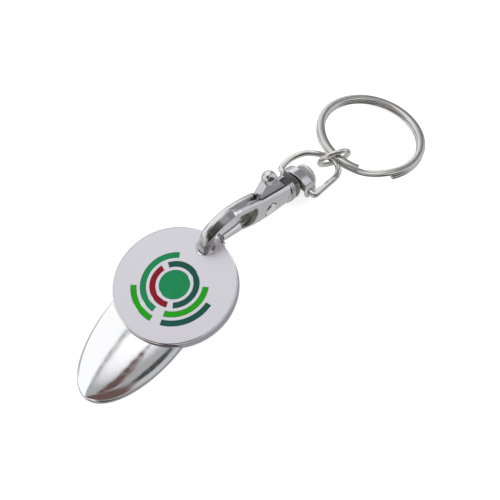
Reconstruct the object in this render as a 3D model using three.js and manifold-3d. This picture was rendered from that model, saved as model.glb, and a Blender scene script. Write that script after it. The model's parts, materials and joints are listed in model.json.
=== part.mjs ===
// A trolley coin keyring: a coin-sized token with a tongue, held by a trigger snap hook with a swivel,
// a D-ring, a jump ring and a split ring. Millimetres, +Z up, at rest on a flat surface.
import * as THREE from "three";
import { mergeVertices } from "three/addons/utils/BufferGeometryUtils.js";
import Module from "manifold-3d";

const wasm = await Module();
wasm.setup();

const degree = Math.PI / 180;

// Token: a coin of 23.25 mm with a tongue cast on to it.
const coinDiameter = 23.25;
const coinThickness = 2.33;
const coinChamfer = 0.2;
const rimWidth = 0.45;
const faceDip = 0.08;
const ligament = 0.8;
const tongueReach = 26;
const tongueWidth = 16.4;
const tongueStraight = 9;
const tongueEdge = 0.5;
const tongueBevel = 0.35;
const tongueCrown = 0.35;
const tongueSweep = 86 * degree;

// Enamel: broken rings round a plain roundel.
const roundelRadius = 2.9;
const enamelBand = 1.15;
const enamelSpacing = 0.6;
const enamelDepth = 0.45;
const enamelProud = 0.04;
const enamelGap = 0.06;

// Trigger hook: its own frame has x along the swivel axis, away from the beak, from the lever's pin.
const hookPitch = 21.2 * degree;
const noseInset = 12.65;
const noseDrop = 2.77;
const noseRadius = 3.2;
const noseClosing = 0.6;
const noseEnd = 325 * degree;
const beakHeight = 2.4;
const beakThickness = 1.95;
const beakWidth = 2.7;
const beakSquareness = 2.6;
const holeClearance = 0.8;
const holePull = 0.36;
const barrelFront = 6.4;
const barrelRear = 6.6;
const barrelHeight = 5;
const barrelWidth = 4.3;
const barrelBelly = 1.3;
const barrelSquareness = 2.5;
const eyeRadius = 2.3;
const eyeInset = 0.3;
const collarRadius = 2.65;
const collarLength = 0.55;
const collarGap = 0.3;
const flangeGap = 0.8;
const flangeRadius = 2.45;
const flangeLength = 0.7;
const channelFront = 3.3;
const channelWidth = 1.9;
const leverClearance = 0.1;
const pinDrop = 0.5;
const pinRadius = 0.75;
const pinHeadRadius = 1.35;
const pinHeadLength = 0.35;
const fitGap = 0.06;
const bossWall = 0.95;

// Lever: gate in front, thumb knob on top, heel over the spring.
const gateThickness = 1.15;
const gateRest = 0.12;
const armHeight = 3.4;
const knobRise = 6.35;
const knobRadius = 1.5;
const heelReach = 4.3;
const heelTop = 2.65;
const heelThickness = 1;
const humpReach = 2.6;
const humpTop = 4.1;
const springRadius = 0.6;
const springWire = 0.2;
const springCurls = 3.5;
const curlSteps = 8;
const springSeat = 0.12;

// Swivel: a yoke that turns on a rivet, with an eye in each cheek for the D-ring.
const yokeStart = 8.5;
const yokeLength = 2.6;
const yokeHalfWidth = 3.55;
const yokeTop = 2.4;
const yokeBottom = 1.3;
const yokeWall = 0.85;
const yokeWeb = 0.9;
const yokeCorner = 2.3;
const yokeTaper = 0.85;
const spigotRadius = 1.25;
const rivetRadius = 0.85;
const rivetHeadRadius = 1.75;
const rivetHeadLength = 1.75;
const runningGap = 0.12;

// D-ring, jump ring and split ring.
const earInset = 1.4;
const dRingWire = 1.2;
const dRingLength = 8.95;
const dRingPitch = 2.7 * degree;
const dRingBend = 0.75;
const jumpWire = 1;
const jumpInner = 4.9;
const jumpSlit = 0.25;
const jumpSlitTurn = 40 * degree;
const strandWidth = 1.6;
const strandThickness = 0.75;
const splitRadius = 9.93;
const splitGap = 0.06;
const splitEnd = 212 * degree;
const splitStep = 44 * degree;
const strandSquareness = 3;

// How the chain lies.
const tokenPitch = 11.5 * degree;
const tokenYaw = 4.2 * degree;
const tokenRoll = 2.6 * degree;
const bowSideShare = -0.47;
const bowReachShare = 1;
const bowLean = 21 * degree;
const strandReachShare = 0.57;
const strandLean = 10 * degree;
const jumpYaw = 26 * degree;
const jumpLean = 15.7 * degree;
const splitPitch = 14.6 * degree;
const splitYaw = 7.65 * degree;

// How far a cut runs past the piece, and the turn between two points of a cut or cast arc.
const overrun = 1;
const arcStep = 6 * degree;

// Finishes.
const satinSilver = { color: 0xdcdae2, roughness: 0.42, metalness: 0.85 };
const nickel = { color: 0xcfcdc8, roughness: 0.16, metalness: 1 };
const brightSteel = { color: 0xc9c8c4, roughness: 0.2, metalness: 1 };
const springSteel = { color: 0x9c9a94, roughness: 0.35, metalness: 1 };
const leafGreen = { color: 0x2e9a24, roughness: 0.22, metalness: 0 };
const seaGreen = { color: 0x238a4c, roughness: 0.22, metalness: 0 };
const bottleGreen = { color: 0x23564a, roughness: 0.22, metalness: 0 };
const wineRed = { color: 0x8c1a2a, roughness: 0.22, metalness: 0 };

// A closed solid of a geometry, with its shared vertices merged.
function solidOf(geometry) {
  const bare = geometry.index ? geometry.toNonIndexed() : geometry.clone();
  bare.deleteAttribute("normal");
  bare.deleteAttribute("uv");
  const merged = mergeVertices(bare, 1e-4);
  return new wasm.Manifold(
    new wasm.Mesh({
      numProp: 3,
      vertProperties: merged.attributes.position.array,
      triVerts: new Uint32Array(merged.index.array),
    }),
  );
}

function meshOf(name, solid, finish) {
  const cut = solid.getMesh();
  const indexed = new THREE.BufferGeometry();
  indexed.setAttribute("position", new THREE.BufferAttribute(cut.vertProperties, cut.numProp));
  indexed.setIndex(new THREE.BufferAttribute(cut.triVerts, 1));
  const geometry = indexed.toNonIndexed();
  geometry.computeVertexNormals();
  const mesh = new THREE.Mesh(geometry, new THREE.MeshStandardMaterial(finish));
  mesh.name = name;
  return mesh;
}

function joined(solids) {
  return solids.reduce((all, solid) => all.add(solid));
}

// An outline in x and z, drawn through the width from side to side of y = 0.
function plate(outline, width) {
  const shape = new THREE.Shape(outline.map(([x, z]) => new THREE.Vector2(x, z)));
  const geometry = new THREE.ExtrudeGeometry(shape, { depth: width, bevelEnabled: false });
  geometry.rotateX(Math.PI / 2);
  geometry.translate(0, width / 2, 0);
  return solidOf(geometry);
}

function box(x0, x1, y0, y1, z0, z1) {
  const geometry = new THREE.BoxGeometry(x1 - x0, y1 - y0, z1 - z0);
  geometry.translate((x0 + x1) / 2, (y0 + y1) / 2, (z0 + z1) / 2);
  return solidOf(geometry);
}

// A profile of [radius, distance along the axis], turned round z and then laid along x or y if asked.
function turned(profile, sides, axis = "z") {
  const points = profile.map(([radius, along]) => new THREE.Vector2(radius, along));
  const geometry = new THREE.LatheGeometry(points, sides);
  if (axis === "x") geometry.rotateZ(-Math.PI / 2);
  if (axis === "z") geometry.rotateX(Math.PI / 2);
  return solidOf(geometry);
}

function rod(radius, from, to, sides, axis = "z") {
  return turned([[0, from], [radius, from], [radius, to], [0, to]], sides, axis);
}

function polygon(radius, sides) {
  const points = [];
  for (let i = 0; i < sides; i++) {
    const turn = (2 * Math.PI * i) / sides;
    points.push(new THREE.Vector2(radius * Math.cos(turn), radius * Math.sin(turn)));
  }
  return new THREE.Shape(points);
}

function wire(curve, diameter, sides, steps) {
  const section = polygon(diameter / 2, sides);
  return solidOf(new THREE.ExtrudeGeometry(section, { steps, bevelEnabled: false, extrudePath: curve }));
}

// Rings of points in order along a body, joined to a skin and closed at both ends.
function loft(rings) {
  const corners = [];
  const count = rings[0].length;
  const middle = (ring) => ring.reduce((sum, p) => sum.add(p), new THREE.Vector3()).divideScalar(count);
  const face = (a, b, c) => corners.push(a, b, c);
  rings.slice(1).forEach((ring, i) => {
    for (let j = 0; j < count; j++) {
      const k = (j + 1) % count;
      face(rings[i][j], ring[k], ring[j]);
      face(rings[i][j], rings[i][k], ring[k]);
    }
  });
  const first = rings[0];
  const last = rings[rings.length - 1];
  const firstMiddle = middle(first);
  const lastMiddle = middle(last);
  for (let j = 0; j < count; j++) {
    const k = (j + 1) % count;
    face(firstMiddle, first[k], first[j]);
    face(lastMiddle, last[j], last[k]);
  }
  return solidOf(new THREE.BufferGeometry().setFromPoints(corners));
}

// A rounded section: a superellipse between two directions.
function section(centre, across, up, halfWidth, halfHeight, squareness, sides) {
  const ring = [];
  for (let i = 0; i < sides; i++) {
    const turn = (2 * Math.PI * i) / sides;
    const c = Math.cos(turn);
    const s = Math.sin(turn);
    const a = Math.sign(c) * Math.abs(c) ** (2 / squareness);
    const b = Math.sign(s) * Math.abs(s) ** (2 / squareness);
    ring.push(centre.clone().addScaledVector(across, a * halfWidth).addScaledVector(up, b * halfHeight));
  }
  return ring;
}

const sideways = new THREE.Vector3(0, 1, 0);
const upwards = new THREE.Vector3(0, 0, 1);

// The beak's middle line: along the top of the hook, then round a closing curve to the nose.
const beakTopShares = [[0.21, 0.75], [0.48, 0.95], [0.75, 1], [0.92, 0.93], [1.08, 0.64]];
const bendShares = [0.93, 0.05];
const halfTurn = Math.PI;
const noseSteps = 6;

function nosePoint(share) {
  const turn = halfTurn + share * (noseEnd - halfTurn);
  const radius = noseRadius - noseClosing * share;
  return new THREE.Vector3(radius * Math.cos(turn) - noseInset, 0, radius * Math.sin(turn) - noseDrop);
}

function beakPoints() {
  const points = beakTopShares.map(([x, z]) => new THREE.Vector3(-x * noseInset, 0, z * beakHeight));
  points.push(new THREE.Vector3(-noseInset - noseRadius * bendShares[0], 0, -noseDrop * bendShares[1]));
  for (let i = 0; i <= noseSteps; i++) points.push(nosePoint(i / noseSteps));
  return points;
}

const beakLine = new THREE.CatmullRomCurve3(beakPoints(), false, "centripetal");
const beakTaperShares = [[0, 0.9], [0.3, 1.05], [0.6, 1.1], [0.75, 1], [0.9, 0.95], [1, 0.85]];
const beakWidthShares = [[0, 1.3], [0.3, 1], [0.6, 0.96], [0.75, 0.85], [0.9, 0.8], [1, 0.7]];

function along(table, share) {
  const next = table.findIndex(([at]) => at >= share);
  if (next <= 0) return table[0][1];
  const [a, low] = table[next - 1];
  const [b, high] = table[next];
  return low + ((high - low) * (share - a)) / (b - a);
}

function beakSection(share, sides) {
  const centre = beakLine.getPointAt(share);
  const tangent = beakLine.getTangentAt(share);
  const outward = new THREE.Vector3(-tangent.z, 0, tangent.x);
  const halfWidth = (along(beakWidthShares, share) * beakWidth) / 2;
  const halfHeight = (along(beakTaperShares, share) * beakThickness) / 2;
  return section(centre, sideways, outward, halfWidth, halfHeight, beakSquareness, sides);
}

function beak() {
  const steps = 34;
  const rings = [];
  for (let i = 0; i <= steps; i++) rings.push(beakSection(i / steps, 16));
  return loft(rings);
}

// The middle of the token's hole, which is its hinge: the beak lies against the hole's far side.
const seatShare = 0.2535;
const tokenTilt = hookPitch + tokenPitch;
const seat = nosePoint(seatShare).add(
  new THREE.Vector3(Math.cos(tokenTilt), 0, Math.sin(tokenTilt)).multiplyScalar(holePull),
);

// The nose's inner corner, where the gate comes to rest.
const noseHalf = (along(beakTaperShares, 1) * beakThickness) / 2;
const noseTop = nosePoint(1).z - noseHalf * Math.sin(noseEnd);
const noseX = nosePoint(1).x - noseHalf * Math.cos(noseEnd);

const halfBarrel = barrelHeight / 2;
const pinHeight = -pinDrop;
const boss = pinRadius + bossWall;
const collarStart = barrelRear - 2 * collarLength - collarGap;
const flangeStart = barrelRear + flangeGap;
const flangeEnd = flangeStart + flangeLength;
const channelEnd = flangeStart - collarGap;
const channelFloor = -halfBarrel + heelThickness;

// Stations of the barrel: [share of its length from front to rear, share of the belly, share of the width].
const barrelShares = [[0, 0.85, 0.76], [0.28, 1, 0.92], [0.52, 0.8, 0.98], [0.76, 0.3, 1], [1, 0, 1]];

function barrel() {
  const rings = barrelShares.map(([at, belly, width]) => {
    const x = -barrelFront + at * (barrelFront + barrelRear);
    const low = -halfBarrel - belly * barrelBelly;
    const high = halfBarrel + belly * leverClearance;
    const centre = new THREE.Vector3(x, 0, (low + high) / 2);
    const halfWidth = (width * barrelWidth) / 2;
    return section(centre, sideways, upwards, halfWidth, (high - low) / 2, barrelSquareness, 28);
  });
  return loft(rings);
}

function collars() {
  const first = rod(collarRadius, collarStart, collarStart + collarLength, 40, "x");
  const second = rod(collarRadius, barrelRear - collarLength, barrelRear, 40, "x");
  const neck = rod(halfBarrel - collarGap, collarStart, flangeEnd, 40, "x");
  const flange = rod(flangeRadius, flangeStart, flangeEnd, 40, "x");
  const spigot = rod(spigotRadius, flangeStart, yokeStart + yokeLength - yokeWeb - runningGap, 24, "x");
  return joined([first, second, neck, flange, spigot]);
}

// Height of the throat's roof over the swivel's axis.
const throatShare = 0.53;

function hookBody() {
  const wide = barrelWidth + overrun;
  const eyeX = -barrelFront + eyeInset;
  const eye = rod(eyeRadius, -wide, wide, 32, "y").translate([eyeX, 0, 0]);
  const front = box(-noseInset, eyeX, -wide, wide, -noseInset, halfBarrel * throatShare);
  const slot = plate(
    [
      [-channelFront, armHeight + overrun],
      [channelEnd, armHeight + overrun],
      [channelEnd, channelFloor + heelThickness],
      [pinHeadRadius * 2, channelFloor - collarGap],
      [pinRadius * 2, -halfBarrel],
      [-boss, -halfBarrel],
      [-boss, -noseInset],
      [-barrelFront - overrun, -noseInset],
      [-barrelFront - overrun, halfBarrel / 2],
      [-channelFront, halfBarrel / 2],
    ],
    channelWidth,
  );
  const headStart = barrelWidth / 2 - pinHeadLength;
  const pinHole = joined([
    rod(pinRadius + fitGap, -wide, wide, 24, "y"),
    rod(pinHeadRadius + fitGap, headStart, headStart + wide, 28, "y"),
    rod(pinHeadRadius + fitGap, -headStart - wide, -headStart, 28, "y"),
  ]);
  const rivetBore = rod(rivetRadius + fitGap, flangeStart - fitGap, yokeStart + yokeLength, 24, "x");
  const shell = joined([barrel().subtract(eye).subtract(front), collars(), beak()]);
  return shell.subtract(slot).subtract(pinHole.translate([0, 0, pinHeight])).subtract(rivetBore);
}

// The lever's outline, clockwise from the gate's tip, in the hook's frame.
const springX = heelReach - springRadius - springWire;
const gateTip = noseX - gateRest;
const gateLow = noseTop + gateRest;
const gateHigh = gateLow + gateThickness;
const rootShare = 0.85;
const rootLow = -halfBarrel - barrelBelly * rootShare;
const heelLow = heelTop - heelThickness;

function lever() {
  const thick = channelWidth - 2 * leverClearance;
  const outline = [
    [gateTip, gateLow],
    [gateTip, gateHigh],
    [-barrelFront - collarGap, gateHigh + gateThickness * 0.7],
    [-channelFront - collarGap * 2, pinHeight - pinRadius],
    [-channelFront + leverClearance * 2, pinHeight + boss],
    [-channelFront + leverClearance * 2, armHeight],
    [-knobRadius * 1.6, knobRise - knobRadius * 0.4],
    [knobRadius * 0.3, knobRise - knobRadius * 0.4],
    [leverClearance * 4, humpTop + leverClearance * 4],
    [humpReach, humpTop],
    [heelReach, heelTop],
    [heelReach, heelLow],
    [springX - springRadius - springSeat, heelLow],
    [boss, pinHeight + pinRadius],
    [pinRadius, pinHeight - boss],
    [-boss, pinHeight - boss],
    [-channelFront, rootLow + gateThickness * 0.35],
    [-barrelFront, rootLow],
  ];
  const body = plate(outline, thick);
  const ball = solidOf(new THREE.SphereGeometry(knobRadius, 24, 16));
  const knob = ball.translate([-knobRadius * 0.65, 0, knobRise]);
  const bore = rod(pinRadius + fitGap, -thick, thick, 24, "y").translate([0, 0, pinHeight]);
  return joined([body, knob]).subtract(bore);
}

function pivotPin() {
  const half = barrelWidth / 2;
  const shoulder = half - pinHeadLength + fitGap;
  const bevel = pinHeadLength / 3;
  const profile = [
    [0, -half],
    [pinHeadRadius - bevel, -half],
    [pinHeadRadius, -half + bevel],
    [pinHeadRadius, -shoulder],
    [pinRadius, -shoulder],
    [pinRadius, shoulder],
    [pinHeadRadius, shoulder],
    [pinHeadRadius, half - bevel],
    [pinHeadRadius - bevel, half],
    [0, half],
  ];
  return turned(profile, 24, "y").translate([0, 0, pinHeight]);
}

// The spring's axis stands in the channel under the heel.
const springTop = heelLow - springSeat;
const floorRise = (channelFloor + heelThickness) - (channelFloor - collarGap);
const floorRun = channelEnd - pinHeadRadius * 2;
const springRun = springX + springRadius - pinHeadRadius * 2;
const springBottom = channelFloor - collarGap + (floorRise * springRun) / floorRun + springSeat;

class Helix extends THREE.Curve {
  constructor(radius, bottom, top, curls) {
    super();
    Object.assign(this, { radius, bottom, top, curls });
  }
  getPoint(share, target = new THREE.Vector3()) {
    const turn = 2 * Math.PI * this.curls * share;
    const height = this.bottom + (this.top - this.bottom) * share;
    return target.set(this.radius * Math.cos(turn), this.radius * Math.sin(turn), height);
  }
}

function leverSpring() {
  const radius = springRadius - springWire / 2;
  const coil = new Helix(radius, springBottom + springWire, springTop - springWire, springCurls);
  return wire(coil, springWire, 5, Math.round(springCurls * curlSteps)).translate([springX, 0, 0]);
}

function springClearance() {
  const pitch = (springTop - springBottom - 2 * springWire) / springCurls;
  return pitch - springWire;
}

// The yoke: an arch with rounded shoulders, hollow towards the hook, with a web that the rivet holds.
function archOutline(halfWidth, top, bottom, corner) {
  const shape = new THREE.Shape();
  shape.moveTo(-halfWidth, -bottom);
  shape.lineTo(halfWidth, -bottom);
  shape.lineTo(halfWidth, top - corner);
  shape.absarc(halfWidth - corner, top - corner, corner, 0, Math.PI / 2, false);
  shape.lineTo(corner - halfWidth, top);
  shape.absarc(corner - halfWidth, top - corner, corner, Math.PI / 2, Math.PI, false);
  return shape;
}

function archSolid(halfWidth, top, bottom, corner, from, to) {
  const shape = archOutline(halfWidth, top, bottom, corner);
  const settings = { depth: to - from, bevelEnabled: false, curveSegments: 10 };
  const geometry = new THREE.ExtrudeGeometry(shape, settings);
  const stand = new THREE.Matrix4().makeBasis(sideways, upwards, new THREE.Vector3(1, 0, 0));
  geometry.applyMatrix4(stand);
  geometry.translate(from, 0, 0);
  return solidOf(geometry);
}

const earX = yokeStart + earInset;
const earRadius = dRingWire / 2 + runningGap;

function swivelYoke() {
  const end = yokeStart + yokeLength;
  const outer = archSolid(yokeHalfWidth, yokeTop, yokeBottom, yokeCorner, yokeStart, end);
  const hollow = archSolid(
    yokeHalfWidth - yokeWall,
    yokeTop - yokeWall,
    yokeBottom + overrun,
    yokeCorner - yokeWall / 2,
    yokeStart - overrun,
    end - yokeWeb,
  );
  const bore = rod(rivetRadius + runningGap, end - yokeWeb - overrun, end + overrun, 24, "x");
  const wide = yokeHalfWidth + overrun;
  const ears = rod(earRadius, -wide, wide, 20, "y").translate([earX, 0, 0]);
  const taper = plate(
    [
      [yokeStart - overrun, yokeTop / 2],
      [yokeStart, yokeTop / 2],
      [yokeStart + yokeTaper, -yokeBottom],
      [yokeStart + yokeTaper, -yokeBottom - overrun],
      [yokeStart - overrun, -yokeBottom - overrun],
    ],
    2 * wide,
  );
  return outer.subtract(hollow).subtract(bore).subtract(ears).subtract(taper);
}

function swivelRivet() {
  const seatX = yokeStart + yokeLength + runningGap;
  const dome = rivetHeadLength / 3;
  const profile = [
    [0, flangeStart],
    [rivetRadius, flangeStart],
    [rivetRadius, seatX],
    [rivetHeadRadius, seatX],
    [rivetHeadRadius, seatX + rivetHeadLength - dome],
    [rivetHeadRadius - dome, seatX + rivetHeadLength],
    [0, seatX + rivetHeadLength],
  ];
  return turned(profile, 28, "x");
}

// D-ring: its feet turn in through the yoke's ears, its origin is on their axis.
const dRingShares = [
  [0.22, -1], [0.47, -1.01], [0.72, -1.02], [0.85, -0.99], [0.94, -0.85], [0.99, -0.66],
  [1, -0.45], [0.97, -0.1], [0.9, 0.29], [0.71, 0.74], [0.44, 0.98], [0.21, 1.02],
];
const legOffset = yokeHalfWidth + runningGap * 2 + dRingWire / 2;

function dRing() {
  const footIn = yokeHalfWidth - yokeWall;
  const points = [
    new THREE.Vector3(0, -footIn, 0),
    new THREE.Vector3(0, -(legOffset + footIn) / 2, 0),
    new THREE.Vector3(dRingBend * 0.3, -legOffset + dRingBend * 0.3, 0),
  ];
  dRingShares.forEach(([x, y]) => points.push(new THREE.Vector3(x * dRingLength, y * legOffset, 0)));
  points.push(new THREE.Vector3(dRingBend * 0.3, legOffset - dRingBend * 0.3, 0));
  points.push(new THREE.Vector3(0, (legOffset + footIn) / 2, 0));
  points.push(new THREE.Vector3(0, footIn, 0));
  const curve = new THREE.CatmullRomCurve3(points, false, "centripetal");
  return wire(curve, dRingWire, 10, 84);
}

// An arc of wire in the plane z = 0 round the origin.
class RingArc extends THREE.Curve {
  constructor(radius, from, sweep) {
    super();
    Object.assign(this, { radius, from, sweep });
  }
  getPoint(share, target = new THREE.Vector3()) {
    const turn = this.from + this.sweep * share;
    return target.set(this.radius * Math.cos(turn), this.radius * Math.sin(turn), 0);
  }
}

const jumpRadius = (jumpInner + jumpWire) / 2;

function jumpRing() {
  const slit = jumpSlit / jumpRadius;
  return wire(new RingArc(jumpRadius, slit / 2, 2 * Math.PI - slit), jumpWire, 10, 48);
}

// The split ring winds almost two turns of flat wire and steps down from the upper layer to the lower one.
const splitLayer = strandThickness + splitGap;

function splitRing() {
  const firstSweep = 2 * Math.PI - splitStep;
  const sweep = 2 * firstSweep + splitStep;
  const steps = 150;
  const rings = [];
  for (let i = 0; i <= steps; i++) {
    const passed = (sweep * i) / steps;
    const turn = splitEnd - passed;
    const eased = THREE.MathUtils.smoothstep((passed - firstSweep) / splitStep, 0, 1);
    const out = new THREE.Vector3(Math.cos(turn), Math.sin(turn), 0);
    const centre = out.clone().multiplyScalar(splitRadius);
    centre.z = splitLayer * (0.5 - eased);
    rings.push(section(centre, out, upwards, strandWidth / 2, strandThickness / 2, strandSquareness, 12));
  }
  return loft(rings);
}

// Token, in its own frame: x points from the tongue to the hole, z = 0 is the underside.
const coinRadius = coinDiameter / 2;
const holeRadius = beakThickness / 2 + holeClearance;
const holeX = coinRadius - ligament - holeRadius;
const faceHeight = coinThickness - faceDip;

function coin() {
  const profile = [
    [0, 0],
    [coinRadius - coinChamfer, 0],
    [coinRadius, coinChamfer],
    [coinRadius, coinThickness - coinChamfer],
    [coinRadius - coinChamfer, coinThickness],
    [coinRadius - rimWidth, coinThickness],
    [coinRadius - rimWidth - faceDip, faceHeight],
    [0, faceHeight],
  ];
  return turned(profile, 96);
}

function tongue() {
  const half = tongueWidth / 2;
  const reach = tongueReach - tongueStraight;
  const rings = [];
  const slices = 22;
  const profileShares = [-1, -0.94, -0.7, -0.4, 0, 0.4, 0.7, 0.94, 1];
  for (let i = -1; i <= slices; i++) {
    const turn = (Math.max(i, 0) / slices) * tongueSweep;
    const x = i < 0 ? -tongueStraight * 0.75 : -tongueStraight - reach * Math.sin(turn);
    const wide = half * Math.cos(turn);
    const ring = [
      new THREE.Vector3(x, -wide + tongueBevel / 3, 0),
      new THREE.Vector3(x, -wide, tongueBevel / 3),
    ];
    profileShares.forEach((share) => {
      const shoulder = Math.abs(share) === 1 ? 0 : tongueBevel;
      const crown = tongueCrown * Math.cos(turn) * (1 - share * share);
      ring.push(new THREE.Vector3(x, wide * share, tongueEdge + shoulder + crown));
    });
    ring.push(new THREE.Vector3(x, wide, tongueBevel / 3), new THREE.Vector3(x, wide - tongueBevel / 3, 0));
    rings.push(ring.reverse());
  }
  return loft(rings.reverse());
}

// Enamel fields round the roundel: the ring that each lies in, start and sweep in degrees, finish, name.
const firstBand = roundelRadius + enamelSpacing;
const bandStep = enamelBand + enamelSpacing;
const fields = [
  { ring: 0, start: 70, sweep: 130, finish: wineRed, name: "enamel_inner_arc_short" },
  { ring: 0, start: 215, sweep: 200, finish: bottleGreen, name: "enamel_inner_arc_long" },
  { ring: 1, start: 30, sweep: 150, finish: seaGreen, name: "enamel_middle_arc_left" },
  { ring: 1, start: 200, sweep: 100, finish: leafGreen, name: "enamel_middle_arc_right" },
  { ring: 2, start: 125, sweep: 60, finish: leafGreen, name: "enamel_outer_arc_left" },
  { ring: 2, start: 200, sweep: 75, finish: bottleGreen, name: "enamel_outer_arc_right" },
];

function arcField(inner, outer, start, sweep, from, to) {
  const shape = new THREE.Shape();
  const finish = start + sweep;
  const steps = Math.ceil(sweep / arcStep);
  for (let i = 0; i <= steps; i++) {
    const turn = start + (sweep * i) / steps;
    const x = outer * Math.cos(turn);
    const y = outer * Math.sin(turn);
    if (i === 0) shape.moveTo(x, y);
    else shape.lineTo(x, y);
  }
  for (let i = 0; i <= steps; i++) {
    const turn = finish - (sweep * i) / steps;
    shape.lineTo(inner * Math.cos(turn), inner * Math.sin(turn));
  }
  const geometry = new THREE.ExtrudeGeometry(shape, { depth: to - from, bevelEnabled: false });
  geometry.translate(0, 0, from);
  return solidOf(geometry);
}

function fieldSolid(field, margin, from, to) {
  const inner = firstBand + field.ring * bandStep + margin;
  const outer = inner + enamelBand - 2 * margin;
  const trim = margin / inner;
  return arcField(inner, outer, field.start * degree + trim, field.sweep * degree - 2 * trim, from, to);
}

function tokenBody() {
  const floor = faceHeight - enamelDepth;
  const pockets = fields.map((field) => fieldSolid(field, 0, floor, coinThickness + overrun));
  pockets.push(rod(roundelRadius, floor, coinThickness + overrun, 48));
  const hole = rod(holeRadius, -overrun, coinThickness + overrun, 40).translate([holeX, 0, 0]);
  return joined([coin(), tongue()]).subtract(hole).subtract(joined(pockets));
}

function enamelPieces() {
  const floor = faceHeight - enamelDepth + enamelGap;
  const top = faceHeight + enamelProud;
  const pieces = fields.map((field) => {
    return meshOf(field.name, fieldSolid(field, enamelGap, floor, top), field.finish);
  });
  pieces.push(meshOf("enamel_roundel", rod(roundelRadius - enamelGap, floor, top, 48), seaGreen));
  return pieces;
}

// The chain, each link in the frame of the one that carries it.
function buildToken() {
  const token = new THREE.Group();
  token.name = "token_frame";
  token.rotation.set(-tokenRoll, -tokenPitch, tokenYaw, "ZYX");
  const pieces = new THREE.Group();
  pieces.position.set(-holeX, 0, -coinThickness / 2);
  pieces.add(meshOf("token_body", tokenBody(), satinSilver), ...enamelPieces());
  token.add(pieces);
  return token;
}

function buildHook() {
  const hook = new THREE.Group();
  hook.name = "hook_frame";
  hook.rotation.y = hookPitch;
  hook.add(
    meshOf("hook_body", hookBody(), nickel),
    meshOf("gate_lever", lever(), nickel),
    meshOf("lever_pivot_pin", pivotPin(), nickel),
    meshOf("lever_spring", leverSpring(), springSteel),
    meshOf("swivel_rivet", swivelRivet(), brightSteel),
    meshOf("swivel_yoke", swivelYoke(), nickel),
  );
  return hook;
}

function inWorld(x, z) {
  return new THREE.Vector3(
    x * Math.cos(hookPitch) + z * Math.sin(hookPitch),
    0,
    z * Math.cos(hookPitch) - x * Math.sin(hookPitch),
  );
}

const earPlace = inWorld(earX, 0);

// The D-ring's bow lies in the bottom of the jump ring, and the split ring's near strand in its upper half.
const inside = jumpInner / 2;
const bowReach = inside - dRingWire / 2 - runningGap;
const bowPlace = earPlace.clone().add(
  new THREE.Vector3(bowReachShare * Math.cos(dRingPitch), 0, -bowReachShare * Math.sin(dRingPitch))
    .multiplyScalar(dRingLength)
    .addScaledVector(sideways, bowSideShare * legOffset),
);
const jumpRise = new THREE.Vector3(-Math.sin(bowLean), 0, Math.cos(bowLean));
const strandRise = new THREE.Vector3(-Math.sin(strandLean), 0, Math.cos(strandLean));
const jumpPlace = bowPlace.clone().addScaledVector(jumpRise, bowReach);
const strandPlace = jumpPlace.clone().addScaledVector(strandRise, inside * strandReachShare);

function buildDRing() {
  const ring = new THREE.Group();
  ring.name = "d_ring_frame";
  ring.position.copy(earPlace);
  ring.rotation.y = dRingPitch;
  ring.add(meshOf("d_ring", dRing(), brightSteel));
  return ring;
}

function buildJumpRing() {
  const ring = new THREE.Group();
  ring.name = "jump_ring_frame";
  ring.position.copy(jumpPlace);
  ring.rotation.set(Math.PI / 2 + jumpLean, 0, -jumpYaw, "ZYX");
  const mesh = meshOf("jump_ring", jumpRing(), brightSteel);
  mesh.rotation.z = jumpSlitTurn;
  ring.add(mesh);
  return ring;
}

function buildSplitRing() {
  const ring = new THREE.Group();
  ring.name = "split_ring_frame";
  const out = new THREE.Vector3(
    Math.cos(splitPitch) * Math.cos(splitYaw),
    -Math.sin(splitYaw),
    -Math.sin(splitPitch) * Math.cos(splitYaw),
  );
  ring.position.copy(strandPlace).addScaledVector(out, splitRadius);
  ring.rotation.set(0, splitPitch, -splitYaw, "ZYX");
  ring.add(meshOf("split_ring", splitRing(), brightSteel));
  return ring;
}

const chain = new THREE.Group();
const token = buildToken();
token.position.copy(inWorld(seat.x, seat.z));
chain.add(token, buildHook(), buildDRing(), buildJumpRing(), buildSplitRing());

// The origin is under the middle of the keyring, on the surface that it lies on.
chain.updateMatrixWorld(true);
const bounds = new THREE.Box3().setFromObject(chain, true);
const centre = bounds.getCenter(new THREE.Vector3());
chain.position.set(-centre.x, -centre.y, -bounds.min.z);

const root = new THREE.Group();
root.name = "trolley_coin_keyring";
root.add(chain);

console.log("least gap between the spring's curls, mm: " + springClearance().toFixed(2));

export default root;
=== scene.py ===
"""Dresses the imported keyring: token, trigger hook, swivel, D-ring, jump ring and split ring."""

import json
from math import copysign, cos, hypot, pi, sin, sqrt, tau
from types import SimpleNamespace

import bmesh
import bpy
from mathutils import Matrix, Vector


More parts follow.
